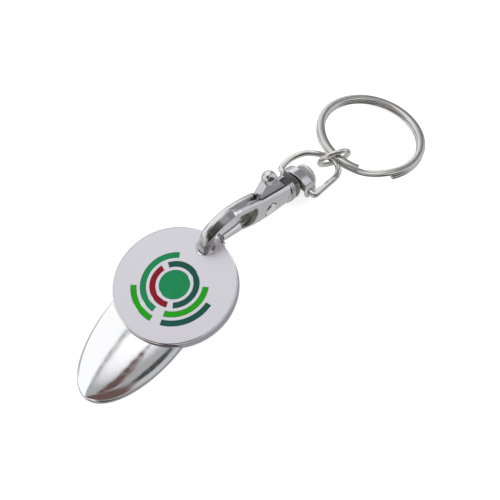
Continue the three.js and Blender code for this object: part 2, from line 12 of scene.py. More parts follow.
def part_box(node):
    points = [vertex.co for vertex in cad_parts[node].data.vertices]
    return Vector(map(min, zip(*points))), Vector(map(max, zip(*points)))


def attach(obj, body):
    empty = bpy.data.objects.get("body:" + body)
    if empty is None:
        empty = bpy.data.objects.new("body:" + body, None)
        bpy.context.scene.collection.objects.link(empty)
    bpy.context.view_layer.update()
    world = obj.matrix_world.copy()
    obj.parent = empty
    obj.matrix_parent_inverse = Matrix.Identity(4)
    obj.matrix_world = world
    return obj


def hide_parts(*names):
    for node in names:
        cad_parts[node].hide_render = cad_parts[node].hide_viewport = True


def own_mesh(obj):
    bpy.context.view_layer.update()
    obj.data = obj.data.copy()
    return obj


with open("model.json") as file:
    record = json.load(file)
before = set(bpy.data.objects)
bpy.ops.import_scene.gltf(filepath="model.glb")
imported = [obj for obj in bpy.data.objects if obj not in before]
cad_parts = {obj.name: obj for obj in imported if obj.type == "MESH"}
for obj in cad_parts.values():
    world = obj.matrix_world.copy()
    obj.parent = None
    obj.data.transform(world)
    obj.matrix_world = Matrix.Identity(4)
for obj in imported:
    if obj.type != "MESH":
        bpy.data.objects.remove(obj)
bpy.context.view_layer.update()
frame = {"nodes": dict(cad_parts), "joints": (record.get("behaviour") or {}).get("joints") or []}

bl_info = {
    "name": "Trolley coin keyring",
    "version": (1, 0, 0),
    "blender": (4, 5, 0),
    "location": "View3D > Sidebar > Keyring",
    "description": "Builds a trolley coin keyring with its hook and rings",
    "category": "Object",
}

# Pieces are shaped on a bench in millimetres and then brought to metres.
BENCH = 1000.0
DEGREE = pi / 180.0
JOINTS = {joint["name"]: joint for joint in frame["joints"]}


def number(name, description, default, **kind):
    return bpy.props.FloatProperty(name=name, description=description, default=default, **kind)


def length(name, description, millimetres):
    return number(name, description, millimetres / BENCH, unit="LENGTH", precision=5)


def angle(name, description, degrees):
    return number(name, description, degrees * DEGREE, subtype="ANGLE")


def share(name, description, default):
    return number(name, description, default, min=0.0, max=1.0, subtype="FACTOR")


def colour(name, where, rgb):
    return bpy.props.FloatVectorProperty(name=name, description="Colour of " + where, default=rgb, size=3,
                                         subtype="COLOR", min=0.0, max=1.0)


class TokenSizes(bpy.types.PropertyGroup):
    diameter: length("Diameter", "Width of the coin-sized disc", 23.25)
    thickness: length("Thickness", "Thickness of the disc", 2.33)
    chamfer: length("Chamfer", "Broken edge of the disc", 0.2)
    rim: length("Rim", "Width of the polished rim round the face", 0.25)
    dip: length("Dip", "Depth of the satin face below the rim", 0.04)
    ligament: length("Ligament", "Metal left between the hole and the rim", 0.8)
    hole: length("Hole", "Radius of the hole for the hook", 1.775)
    reach: length("Reach", "From the disc's middle to the tongue's tip", 25.94)
    straight: length("Straight", "From the disc's middle to the tongue's widest part", 9.0)
    width: length("Tongue width", "Widest part of the tongue", 16.4)
    edge: length("Edge", "Thickness of the tongue at its edge", 0.5)
    crown: length("Crown", "Rise of the tongue's middle over its edge", 1.1)
    pitch: angle("Pitch", "How far the hole's end of the token is raised", 11.5)
    yaw: angle("Yaw", "How far the token is turned to the left", 4.2)
    roll: angle("Roll", "How far the token leans to the right", 2.6)
    pocket: length("Pocket", "Depth of the enamel's pockets", 0.45)
    roundel: length("Roundel", "Radius of the roundel in the middle", 2.9)
    band: length("Band", "Width of an enamel arc", 1.15)
    spacing: length("Spacing", "Metal between two enamel rings", 0.6)


class HookSizes(bpy.types.PropertyGroup):
    pitch: angle("Pitch", "How steeply the hook slopes down to the swivel", 21.2)
    nose_inset: length("Nose inset", "From the pin to the middle of the nose's bend", 12.65)
    nose_drop: length("Nose drop", "From the axis down to the middle of the nose's bend", 2.77)
    nose_radius: length("Nose radius", "Radius of the nose's bend where it starts", 3.2)
    nose_closing: length("Nose closing", "How much the bend tightens towards the nose", 0.6)
    beak_height: length("Beak height", "Height of the beak's middle line over the axis", 2.4)
    beak_thickness: length("Beak thickness", "Thickness of the beak", 1.95)
    beak_width: length("Beak width", "Width of the beak", 2.7)
    barrel_front: length("Barrel front", "From the pin to the front of the barrel", 6.4)
    barrel_rear: length("Barrel rear", "From the pin to the rear collar", 6.6)
    barrel_height: length("Barrel height", "Height of the barrel", 5.0)
    barrel_width: length("Barrel width", "Width of the barrel", 4.3)
    belly: length("Belly", "How far the barrel bulges down under the pin", 1.3)
    eye: length("Eye", "Radius of the round end of the hook's eye", 2.3)
    collar: length("Collar", "Radius of the two collars", 2.65)
    flange: length("Flange", "Radius of the flange behind the collars", 2.45)
    channel: length("Channel", "Width of the lever's channel", 1.9)
    pin_drop: length("Pin drop", "How far the pin lies under the axis", 0.5)
    pin: length("Pin", "Radius of the lever's pin", 0.75)
    pin_head: length("Pin head", "Radius of the pin's spread head", 1.35)
    gate: length("Gate", "Thickness of the gate", 1.15)
    knob_rise: length("Knob rise", "Height of the knob's middle over the axis", 6.35)
    knob: length("Knob", "Radius of the knob", 1.5)
    grain: length("Grain", "Mesh size of the cast pieces", 0.1)


class RingSizes(bpy.types.PropertyGroup):
    yoke_start: length("Yoke start", "From the pin to the front of the yoke", 8.5)
    yoke_length: length("Yoke length", "Length of the yoke", 3.3)
    yoke_width: length("Yoke half width", "Half of the yoke's width", 3.55)
    yoke_top: length("Yoke top", "Height of the yoke over the axis", 2.4)
    rivet_head: length("Rivet head", "Radius of the rivet's domed head", 2.5)
    yoke_wall: length("Yoke wall", "Thickness of the yoke's strap", 0.85)
    d_wire: length("D-ring wire", "Thickness of the D-ring's wire", 1.2)
    d_length: length("D-ring length", "From the D-ring's feet to its bow", 8.95)
    d_pitch: angle("D-ring pitch", "How far the D-ring hangs below level", 2.7)
    jump_wire: length("Jump ring wire", "Thickness of the jump ring's wire", 1.0)
    jump_inner: length("Jump ring inside", "Inside width of the jump ring", 4.9)
    jump_yaw: angle("Jump ring yaw", "How far the jump ring is turned", 26.0)
    jump_lean: angle("Jump ring lean", "How far the jump ring leans back", 15.7)
    strand_width: length("Strand width", "Width of the flat wire", 1.59)
    strand_thickness: length("Strand thickness", "Thickness of the flat wire", 0.75)
    split_radius: length("Split ring radius", "Radius of the split ring at the middle of its wire", 9.93)
    split_gap: length("Split gap", "Gap between the split ring's turns", 0.06)
    split_pitch: angle("Split ring pitch", "How far the split ring's near side is raised", 14.6)
    split_yaw: angle("Split ring yaw", "How far the split ring lies to the right", 7.65)


class Finishes(bpy.types.PropertyGroup):
    satin: colour("Satin silver", "the disc's face", (0.93, 0.92, 0.955))
    # Painted shade: this darker colour covers the sides of the disc and the tongue.
    edge: colour("Coin edge", "the disc's side", (0.42, 0.41, 0.47))
    # The mirror is the tongue's real polish; on the hook, the lever's gate and the yoke's rim it is a
    # painted highlight.
    mirror: colour("Mirror", "the polished tongue and rim", (0.86, 0.86, 0.87))
    nickel: colour("Nickel", "the cast hook", (0.68, 0.675, 0.69))
    wire: colour("Wire", "the plated wire", (0.74, 0.74, 0.72))
    # Painted shade: this dark grey darkens the channel and eye, a crescent round the pin's head, the lever's
    # root and a strip of its gate, the yoke's inside and the parts behind the barrel.
    inside: colour("Inside", "the unpolished inside of the casting", (0.26, 0.26, 0.23))
    # Painted highlight: a near white on the seat under the rivet's head.
    pale: colour("Pale", "the rivet's blasted seat", (0.95, 0.95, 0.94))
    # Painted shade: a near black on the flat top behind the lever and on the upper side behind the barrel.
    slate: colour("Slate", "the flat top behind the lever", (0.11, 0.115, 0.115))
    leaf: colour("Leaf green", "the bright green enamel", (0.012, 0.370, 0.006))
    sea: colour("Sea green", "the blue-green enamel", (0.008, 0.260, 0.090))
    bottle: colour("Bottle green", "the dark green enamel", (0.008, 0.088, 0.063))
    wine: colour("Wine red", "the dark red enamel", (0.270, 0.004, 0.018))
    polish: share("Polish", "Roughness of the polished metal", 0.1)
    sheen: share("Satin", "Roughness of the disc's face", 0.32)


class StageSettings(bpy.types.PropertyGroup):
    floor: colour("Floor", "the floor", (0.92, 0.92, 0.92))
    wall: colour("Wall", "the room's walls, which the metal mirrors", (0.10, 0.10, 0.08))
    ambient: share("Ambient", "Level of the soft light from all round", 0.9)
    key: number("Key", "Power of the soft lamp behind the keyring", 0.2, unit="POWER")
    elevation: angle("Elevation", "How far the camera looks down", 58.5)
    turn: angle("Turn", "How far the camera is turned round the keyring", -47.0)
    focal: number("Focal length", "Focal length of the camera in millimetres", 129.6)


# Fits and small forms that several pieces share, in millimetres.
FIT = 0.06  # round a pin in its bore
PLAY = 0.12  # round a part that turns or slides
BOSS_WALL = 0.95  # metal round the lever's bore
HEAD_DEPTH = 0.35  # sinking of the pin's head in the barrel's cheek
FLANGE_GAP = 0.8  # from the rear collar to the flange
FLANGE_LENGTH = 0.7
SPIGOT = 1.25  # radius of the spigot behind the flange
RIVET_STEM = 0.85  # radius of the rivet's stem
EAR_INSET = 1.4  # from the yoke's front to the D-ring's feet
PAST = 1.0  # how far a cutter reaches past the surface that it cuts
POLE = 1e-6  # a smaller radius is a point on the axis
UP = Vector((0, 0, 1))


def bench_sizes(name):
    """The sizes of a group, its lengths in bench units and its angles as they are."""
    group = getattr(bpy.context.scene, "keyring_" + name)
    return SimpleNamespace(**{key: getattr(group, key) * (BENCH if prop.unit == "LENGTH" else 1)
                              for key, prop in group.bl_rna.properties.items() if prop.type == "FLOAT"})


# Making meshes on the bench.
def skin(sections):
    """A closed solid from rings of points. A ring of one point is a tip, other end rings get a lid."""
    bm = bmesh.new()
    rings = [[bm.verts.new(point) for point in section] for section in sections]
    for near, far in zip(rings, rings[1:]):
        for i in range(max(len(near), len(far))):
            j = i + 1
            corners = (near[i % len(near)], near[j % len(near)], far[j % len(far)], far[i % len(far)])
            bm.faces.new(list(dict.fromkeys(corners)))
    for lid in (rings[0], rings[-1]):
        if len(lid) > 1:
            bm.faces.new(lid)
    bmesh.ops.recalc_face_normals(bm, faces=bm.faces)
    return bm


def on_circle(radius, turn, z=0.0):
    return Vector((radius * cos(turn), radius * sin(turn), z))


def rounded(sides, squareness=2.0):
    """Corners of a unit circle, drawn towards a square where squareness is over 2."""
    power = 2.0 / squareness
    return [tuple(copysign(abs(v) ** power, v) for v in (-sin(i / sides * tau), cos(i / sides * tau)))
            for i in range(sides)]


def swept(points, upright, half_width, half_height, squareness=2.0, sides=20, pressed=None):
    """A closed skin round a path, half_width across upright and half_height along it.

    Both take the share of the path that has been passed, and so does pressed, which moves a corner sideways.
    """
    rings = []
    last = len(points) - 1
    for i, point in enumerate(points):
        passed = i / last
        tangent = (points[min(i + 1, last)] - points[max(i - 1, 0)]).normalized()
        rise = (upright - tangent * upright.dot(tangent)).normalized()
        across = tangent.cross(rise)
        ring = []
        for a, b in rounded(sides, squareness):
            if pressed:
                a = pressed(a, b, passed)
            ring.append(point + across * a * half_width(passed) + rise * b * half_height(passed))
        rings.append(ring)
    return skin(rings)


def round_wire(points, radius, sides=24):
    return swept(points, UP, lambda passed: radius, lambda passed: radius, sides=sides)


def spun(profile, axis="Z", steps=96):
    """A solid of revolution from a profile of (radius, distance along the axis)."""
    rings = []
    for radius, distance in profile:
        corners = range(steps if radius > POLE else 1)
        rings.append([on_circle(radius, i / steps * tau, distance) for i in corners])
    bm = skin(rings)
    bmesh.ops.dissolve_limit(bm, angle_limit=0.001, verts=bm.verts, edges=bm.edges)
    bmesh.ops.recalc_face_normals(bm, faces=bm.faces)
    turn = {"X": Matrix.Rotation(pi / 2, 3, "Y"), "Y": Matrix.Rotation(-pi / 2, 3, "X"),
            "Z": Matrix.Identity(3)}
    bmesh.ops.rotate(bm, cent=(0, 0, 0), matrix=turn[axis], verts=bm.verts)
    return bm


def rod(radius, start, end, axis="Z", steps=64):
    return spun([(0, start), (radius, start), (radius, end), (0, end)], axis, steps)


def dome(radius, foot, rise, step):
    """The profile of a low dome from its rim to its top, with a corner every so many degrees."""
    return [(radius * cos(a * DEGREE), foot + rise * sin(a * DEGREE)) for a in range(0, 91, step)]


def moved(bm, x=0.0, z=0.0):
    bmesh.ops.translate(bm, verts=bm.verts, vec=(x, 0, z))
    return bm


def plate(outline, half_width):
    """An outline of (x, z) drawn through from side to side."""
    return skin([[(x, y, z) for x, z in outline] for y in (-half_width, half_width)])


def linked(name, data):
    made = bpy.data.objects.new(name, data)
    bpy.context.scene.collection.objects.link(made)
    return made


def on_bench(name, bm):
    mesh = bpy.data.meshes.new(name)
    bm.to_mesh(mesh)
    bm.free()
    return linked(name, mesh)


def carve(piece, cutters, operation="DIFFERENCE"):
    for bm in cutters:
        cutter = on_bench(piece.name + "_tool", bm)
        cut = piece.modifiers.new("cut", "BOOLEAN")
        cut.operation = operation
        cut.solver = "EXACT"
        cut.object = cutter
        settle(piece)
        bpy.data.objects.remove(cutter)


def settle(piece):
    """Puts the piece's modifiers into its mesh."""
    graph = bpy.context.evaluated_depsgraph_get()
    mesh = bpy.data.meshes.new_from_object(piece.evaluated_get(graph))
    piece.modifiers.clear()
    worn, piece.data = piece.data, mesh
    bpy.data.meshes.remove(worn)


def soften(piece, grain, rounds):
    """Gives a piece the rounded edges of a casting."""
    remesh = piece.modifiers.new("grain", "REMESH")
    remesh.mode = "VOXEL"
    remesh.voxel_size = grain
    smooth = piece.modifiers.new("rounds", "SMOOTH")
    smooth.iterations = rounds
    settle(piece)


def place(piece, matrix, finishes, body, replaced, crease=None):
    """Brings a piece from the bench to its place, with its finishes, body and the node that it replaces."""
    mesh = piece.data
    mesh.transform(matrix @ Matrix.Scale(1.0 / BENCH, 4))
    mesh.materials.clear()
    for name in finishes:
        mesh.materials.append(finish_named(name))
    mesh.polygons.foreach_set("use_smooth", [True] * len(mesh.polygons))
    if crease is not None:
        mesh.set_sharp_from_angle(angle=crease)
    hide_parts(replaced)
    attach(piece, body)


def facets(piece, matrix):
    """Each face of a placed piece, with its middle and its heading as they were on the bench."""
    back = matrix.inverted()
    for face in piece.data.polygons:
        yield face, back @ face.center * BENCH, (back.to_3x3() @ face.normal).normalized()


def smooth_path(knots, steps):
    """Points on a centripetal Catmull-Rom curve through the knots."""
    ends = [knots[0] * 2 - knots[1], *knots, knots[-1] * 2 - knots[-2]]
    points = []
    for i in range(1, len(ends) - 2):
        p0, p1, p2, p3 = ends[i - 1:i + 3]
        t1 = sqrt((p1 - p0).length)
        t2 = t1 + sqrt((p2 - p1).length)
        t3 = t2 + sqrt((p3 - p2).length)
        for j in range(steps):
            t = t1 + (t2 - t1) * j / steps
            middle = p1.lerp(p2, (t - t1) / (t2 - t1))
            early = p0.lerp(p1, t / t1).lerp(middle, t / t2)
            late = middle.lerp(p2.lerp(p3, (t - t2) / (t3 - t2)), (t - t1) / (t3 - t1))
            points.append(early.lerp(late, (t - t1) / (t2 - t1)))
    points.append(knots[-1].copy())
    return points


def along(table, at):
    """The value at a place in a table of (place, value)."""
    for (a, low), (b, high) in zip(table, table[1:]):
        if at <= b:
            return low + (high - low) * (at - a) / (b - a)
    return table[-1][1]


# Where each part of the chain lies.
def joint_place(name):
    return Matrix.Translation(JOINTS[name]["pos_m"])


def token_matrix():
    sizes = bpy.context.scene.keyring_token
    hole_x = sizes.diameter / 2 - sizes.ligament - sizes.hole
    turn = (Matrix.Rotation(sizes.yaw, 4, "Z") @ Matrix.Rotation(-sizes.pitch, 4, "Y")
            @ Matrix.Rotation(-sizes.roll, 4, "X"))
    return joint_place("token_hinge") @ turn @ Matrix.Translation((-hole_x, 0, -sizes.thickness / 2))


def hook_matrix():
    return joint_place("swivel_turn") @ Matrix.Rotation(bpy.context.scene.keyring_hook.pitch, 4, "Y")


def box_middle(node_name):
    low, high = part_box(node_name)
    return (Vector(low) + Vector(high)) / 2


# Finishes.
NOISE_LOW, NOISE_HIGH = 0.35, 0.65  # a noise's value seldom leaves this range
MIX_UNDER, MIX_OVER, MIX_RESULT = 6, 7, 2  # the colour sockets of a Mix node


def fill(tree, made, values):
    """Sets a node's sockets and settings. Where the value is another node's socket, it is linked."""
    for key, value in values.items():
        if isinstance(value, bpy.types.NodeSocket):
            tree.links.new(value, made.inputs[key])
        elif isinstance(key, int) or key in made.inputs:
            made.inputs[key].default_value = value
        else:
            setattr(made, key, value)


def node(tree, kind, output, values):
    """The named output of a new node."""
    made = tree.nodes.new("ShaderNode" + kind)
    fill(tree, made, values)
    return made.outputs[output]


def start_material(name):
    material = bpy.data.materials.new(name)
    material.use_nodes = True
    tree = material.node_tree
    return material, tree, tree.nodes["Principled BSDF"]


def noise_on(tree, scale, detail, stretch=(1, 1, 1), turn=(0, 0, 0)):
    """A noise on Object coordinates."""
    turned = node(tree, "Mapping", "Vector", {
        "Vector": node(tree, "TexCoord", "Object", {}), "Scale": stretch, "Rotation": turn})
    return node(tree, "TexNoise", "Fac", {"Vector": turned, "Scale": scale, "Detail": detail})


def mixed_colour(tree, factor, under, over):
    """Two colours mixed. Each is a socket or three numbers."""
    under, over = (rgb if isinstance(rgb, bpy.types.NodeSocket) else (*rgb, 1) for rgb in (under, over))
    return node(tree, "Mix", MIX_RESULT, {
        "data_type": "RGBA", "Factor": factor, MIX_UNDER: under, MIX_OVER: over})


def mixed_shader(tree, factor, under, over):
    return node(tree, "MixShader", "Shader", {0: factor, 1: under, 2: over})


def tinted(tree, source, rgb, amount):
    """The colour, darker by that amount where the source is low."""
    return mixed_colour(tree, source, [channel * (1 - amount) for channel in rgb], rgb)


def grained(name, rgb, values, wear, noise, roughness, relief=None, strength=0.1, depth=0.0001):
    """A finish that a noise makes rougher and darker in places, with a relief of that noise or another."""
    material, tree, shader = start_material(name)
    patches = noise_on(tree, *noise)
    swells = noise_on(tree, *relief) if relief else patches
    fill(tree, shader, {
        **values, "Base Color": tinted(tree, patches, rgb, wear),
        "Roughness": node(tree, "MapRange", "Result", {
            "Value": patches, "From Min": NOISE_LOW, "From Max": NOISE_HIGH,
            "To Min": roughness[0], "To Max": roughness[1]}),
        "Normal": node(tree, "Bump", "Normal", {
            "Height": swells, "Strength": strength, "Distance": depth})})
    return material


def polished(name, rgb, tone, roughness, ripple, wear):
    """Polished plating: faint ripples of the casting under it and hazy patches."""
    roughness *= bpy.context.scene.keyring_finishes.polish
    return grained(name, [channel * tone for channel in rgb], {"Metallic": 1.0}, wear, (900.0, 4.0),
                   (roughness * 0.8, roughness * 1.5), (420.0, 1.0), ripple, 0.0002)


def dull(name, rgb):
    """Rough finish for painted shade and painted highlights: thin grey plating, half metal, with a fine
    rough grain.
    """
    return grained(name, rgb, {"Metallic": 0.5}, 0.25, (1500.0, 4.0), (0.4, 0.6), strength=0.3)


def satin(name, rgb):
    """Satin plating with a fine straight grain."""
    roughness = bpy.context.scene.keyring_finishes.sheen
    straight_grain = (500.0, 5.0, (0.12, 3.0, 1.0), (0, 0, 47 * DEGREE))
    return grained(name, rgb, {"Metallic": 1.0}, 0.05, straight_grain, (roughness * 0.85, roughness * 1.2),
                   strength=0.08, depth=0.00005)


def enamel(name, rgb):
    """Soft enamel: an even colour with faint clouds and a glossy, slightly uneven top."""
    return grained(name, rgb, {"Specular IOR Level": 0.15}, 0.18, (700.0, 2.0), (0.3, 0.3))


# Each is (maker, colour), and a polished one has its tone, roughness over the polish, ripple and wear too.
FINISHES = {
    "satin_silver": (satin, "satin"),
    # The tongue's real polish, and a painted highlight on single faces of the hook, the lever and the yoke.
    "tongue_mirror": (polished, "mirror", 1.0, 0.7, 0.04, 0.03),
    # Painted shade on the sides of the disc and the tongue.
    "coin_edge": (polished, "edge", 1.0, 2.5, 0.1, 0.06),
    "hook_nickel": (polished, "nickel", 1.0, 1.6, 0.2, 0.06),
    # Painted shade: a darker copy of the nickel for the grooves, the flange and the lever's sides.
    "lever_side": (polished, "nickel", 0.62, 3.0, 0.2, 0.15),
    # Painted reflection: a dark copy of the nickel stands for the dark room mirrored in the beak's flat.
    "flat_shade": (polished, "nickel", 0.45, 1.5, 0.15, 0.2),
    "wire_steel": (polished, "wire", 1.0, 1.5, 0.1, 0.1),
    "ring_steel": (polished, "wire", 0.82, 1.0, 0.1, 0.1),
    # Painted shade in the hook's hollows, on the lever's root and strip, inside the yoke and behind the
    # barrel.
    "cast_inside": (dull, "inside"),
    # Painted shade on the flat top behind the lever.
    "slate_top": (dull, "slate"),
    # Painted highlight on the rivet's seat.
    "pale_seat": (dull, "pale"),
    "enamel_leaf": (enamel, "leaf"),
    "enamel_sea": (enamel, "sea"),
    "enamel_bottle": (enamel, "bottle"),
    "enamel_wine": (enamel, "wine"),
}


def finish_named(name):
    """The material of that name, made the first time that it is asked for."""
    made = bpy.data.materials.get(name)
    if not made:
        make, source, *rest = FINISHES[name]
        made = make(name, getattr(bpy.context.scene.keyring_finishes, source), *rest)
    return made


# Token. Each field of enamel is (node, ring, start and sweep in degrees, finish).
ENAMEL_FIELDS = [
    ("enamel_inner_arc_long", 0, 215, 200, "enamel_bottle"),
    ("enamel_inner_arc_short", 0, 70, 130, "enamel_wine"),
    ("enamel_middle_arc_left", 1, 30, 150, "enamel_sea"),
    ("enamel_middle_arc_right", 1, 200, 100, "enamel_leaf"),
    ("enamel_outer_arc_left", 2, 125, 60, "enamel_leaf"),
    ("enamel_outer_arc_right", 2, 200, 75, "enamel_bottle"),
]
TOKEN_FINISHES = ["tongue_mirror", "satin_silver", "coin_edge"]
HOLE_BREAK = 0.07  # broken edge of the hole
# Across the tongue: the corners of its edge as (inset, height), then the crown from its middle to one side.
TONGUE_EDGE = [(0.16, 0.0), (0.04, 0.1), (0.0, 0.35), (0.0, 0.8), (0.1, 1.25)]
CROWN_SIDE = [0.22, 0.42, 0.6, 0.76, 0.85, 0.92, 0.96, 0.985]
CROWN = [-across for across in reversed(CROWN_SIDE)] + [0.0] + CROWN_SIDE
TONGUE_SLICES = 56
TONGUE_SWEEP = 88.6 * DEGREE


def arc_block(inner, outer, start, sweep, low, high):
    """A piece of a flat ring."""
    steps = max(4, round(sweep / 2))
    rings = []
    for i in range(steps + 1):
        turn = (start + sweep * i / steps) * DEGREE
        rings.append([on_circle(radius, turn, z)
                      for radius, z in ((inner, low), (outer, low), (outer, high), (inner, high))])
    return skin(rings)


def tongue_skin(sizes):
    """The tongue: half an ellipse with a crowned, polished top and a rounded edge."""
    edge = sizes.edge
    rings = []
    for i in range(-1, TONGUE_SLICES + 1):
        turn = max(i, 0) / TONGUE_SLICES * TONGUE_SWEEP
        x = -sizes.straight * 0.75
        if i >= 0:
            x = -sizes.straight - (sizes.reach - sizes.straight) * sin(turn)
        wide = sizes.width / 2 * cos(turn)
        small = min(1.0, wide / 1.2)
        side = [(wide - inset * small, height * edge) for inset, height in TONGUE_EDGE]
        swell = (sizes.crown - edge * 0.3) * (0.35 + 0.65 * cos(turn) ** 0.5)
        top = [(wide * s, edge * 1.3 + swell * (1 - abs(s) ** 2.3) ** 0.7) for s in CROWN]
        outline = [(-y, z) for y, z in side] + top + side[::-1]
        rings.append([(x, y, z) for y, z in outline])
    return skin(rings)


class KEYRING_OT_token(bpy.types.Operator):
    """Build the coin-sized token with its tongue, hole and enamel pockets"""
    bl_idname = "keyring.token"
    bl_label = "Token"

    def execute(self, context):
        sizes = bench_sizes("token")
        radius = sizes.diameter / 2
        thick = sizes.thickness
        chamfer = sizes.chamfer
        shoulder = chamfer * 0.3
        rim = radius - sizes.rim
        face_z = thick - sizes.dip
        disc = spun([(0, 0), (radius - chamfer, 0), (radius - shoulder, shoulder), (radius, chamfer),
                     (radius, thick - chamfer), (radius - shoulder, thick - shoulder),
                     (radius - chamfer, thick), (rim, thick), (rim - sizes.dip, face_z), (0, face_z)],
                    steps=192)
        token = on_bench("token", disc)
        carve(token, [tongue_skin(sizes)], "UNION")
        hole = sizes.hole
        mouth = hole + HOLE_BREAK
        bore = spun([(0, -PAST), (mouth, -PAST), (mouth, 0), (hole, HOLE_BREAK), (hole, face_z - HOLE_BREAK),
                     (mouth, face_z), (mouth, thick + PAST), (0, thick + PAST)])
        floor = face_z - sizes.pocket
        pockets = [moved(bore, x=radius - sizes.ligament - hole),
                   rod(sizes.roundel, floor, thick + PAST, steps=96)]
        for _, ring, start, sweep, _ in ENAMEL_FIELDS:
            inner = sizes.roundel + sizes.spacing + ring * (sizes.band + sizes.spacing)
            pockets.append(arc_block(inner, inner + sizes.band, start, sweep, floor, thick + PAST))
        carve(token, pockets)
        place(token, token_matrix(), TOKEN_FINISHES, "token", "token_body", 32 * DEGREE)
        satin_face, side = (TOKEN_FINISHES.index(name) for name in ("satin_silver", "coin_edge"))
        for face, middle, heading in facets(token, token_matrix()):
            away = hypot(middle.x, middle.y)
            on_disc_side = radius - 0.1 < away < radius + 0.01 and middle.z < thick - 0.15
            on_tongue_side = away > radius and abs(heading.z) < 0.6
            if away < rim and (middle.z < 0.05 or middle.z > face_z - 0.3):
                face.material_index = satin_face
                face.use_smooth = abs(middle.z - face_z) > 0.01
            # Painted shade: the sides of the disc and the tongue get the darker coin edge.
            elif on_disc_side or on_tongue_side:
                face.material_index = side
        return {"FINISHED"}


class KEYRING_OT_enamel(bpy.types.Operator):
    """Finish the enamel fields of the token's face"""
    bl_idname = "keyring.enamel"
    bl_label = "Enamel"

    def execute(self, context):
        finishes = {name: finish for name, _, _, _, finish in ENAMEL_FIELDS}
        finishes["enamel_roundel"] = "enamel_sea"
        for name, finish in finishes.items():
            materials = frame["nodes"][name].data.materials
            if not materials:
                materials.append(None)
            for i in range(len(materials)):
                materials[i] = finish_named(finish)
        return {"FINISHED"}


# Hook. The tables run from the barrel to the nose, in shares of the way; the barrel's from front to rear.
NOSE_END = 325 * DEGREE
NOSE_KNOTS = 6
BEND_START = (0.93, 0.05)  # shares of the nose's radius and drop, where the bend starts
BEAK_TOP = [(0.21, 0.75), (0.48, 0.95), (0.75, 1.0), (0.92, 0.93), (1.08, 0.64)]
BEAK_TAPER = [(0, 0.9), (0.3, 1.05), (0.6, 1.1), (0.75, 1.0), (0.9, 0.95), (1, 0.85)]
BEAK_WIDTH = [(0, 1.3), (0.3, 1.0), (0.6, 0.96), (0.75, 0.85), (0.9, 0.8), (1, 0.7)]
BEAK_FLAT = [(0, 0), (0.175, 0), (0.215, 1), (0.40, 1), (0.48, 0), (1, 0)]
BEAK_SQUARENESS = 2.7
BARREL_SQUARENESS = 2.6
# Each row is (place, share of the belly, share of the width).
BARREL = [(0, 0.85, 0.76), (0.14, 0.96, 0.86), (0.28, 1, 0.92), (0.52, 0.8, 0.98), (0.76, 0.3, 1), (1, 0, 1)]
# The collars' corners, as (below the collar's radius, ahead of the barrel's rear), and their grooves, where
# shade is painted.
COLLARS = [(0.25, 1.4), (0.05, 1.2), (0, 0.95), (0.08, 0.8), (0.08, 0.65), (0, 0.5), (0, 0.12), (0.12, 0)]
COLLAR_GROOVES = (1.15, 0.7, 0.25)
GROOVE_TIP = (-7.0, -0.15, 3.4)
GROOVE_END = [(-3.0, -0.75, 3.4), (-3.0, 0.65, 3.4), (-3.0, 0.25, 1.9), (-3.0, -0.35, 1.9)]
THROAT = -3.3  # front end of the lever's channel
HOOK_FINISHES = ["hook_nickel", "cast_inside", "lever_side", "slate_top", "flat_shade", "tongue_mirror"]


def beak_path(sizes):
    inset, drop = sizes.nose_inset, sizes.nose_drop
    knots = [(-x * inset, z * sizes.beak_height) for x, z in BEAK_TOP]
    knots.append((-inset - sizes.nose_radius * BEND_START[0], -drop * BEND_START[1]))
    for i in range(NOSE_KNOTS + 1):
        turn = pi + i / NOSE_KNOTS * (NOSE_END - pi)
        reach = sizes.nose_radius - sizes.nose_closing * i / NOSE_KNOTS
        knots.append((reach * cos(turn) - inset, reach * sin(turn) - drop))
    return smooth_path([Vector((x, 0, z)) for x, z in knots], 8)


def beak_facet(a, b, passed):
    """Presses the long flat on to the near shoulder of the beak's bend."""
    flat = -1 + 0.62 * max(0.0, -b)
    return a + (max(a, flat) - a) * along(BEAK_FLAT, passed) if b < 0 else a


def beak_skin(sizes):
    width = sizes.beak_width / 2
    height = sizes.beak_thickness / 2
    return swept(beak_path(sizes), Vector((0, 1, 0)), lambda passed: along(BEAK_TAPER, passed) * height,
                 lambda passed: along(BEAK_WIDTH, passed) * width, BEAK_SQUARENESS, 48, beak_facet)


def barrel_skin(sizes):
    half = sizes.barrel_height / 2
    rings = []
    for at, bulge, share_wide in smooth_path([Vector(row) for row in BARREL], 6):
        x = at * (sizes.barrel_front + sizes.barrel_rear) - sizes.barrel_front
        low = -half - bulge * sizes.belly
        high = half + bulge * 0.1
        wide = share_wide * sizes.barrel_width / 2
        rings.append([(x, a * wide, (low + high) / 2 + b * (high - low) / 2)
                      for a, b in rounded(40, BARREL_SQUARENESS)])
    return skin(rings)


def tail_profile(sizes, rings):
    """The collars, the flange and the spigot, as (radius, distance behind the pin)."""
    rear = sizes.barrel_rear
    neck = sizes.barrel_height / 2 - 0.3
    flange = sizes.flange
    start = rear + FLANGE_GAP
    end = start + FLANGE_LENGTH
    spigot_end = rings.yoke_start + 1.58
    return [(0, rear - COLLARS[0][1]), *((sizes.collar - below, rear - ahead) for below, ahead in COLLARS),
            (neck, rear), (neck, start), (flange - 0.1, start), (flange, start + 0.1), (flange, end - 0.1),
            (flange - 0.1, end), (SPIGOT, end), (SPIGOT, spigot_end), (0, spigot_end)]


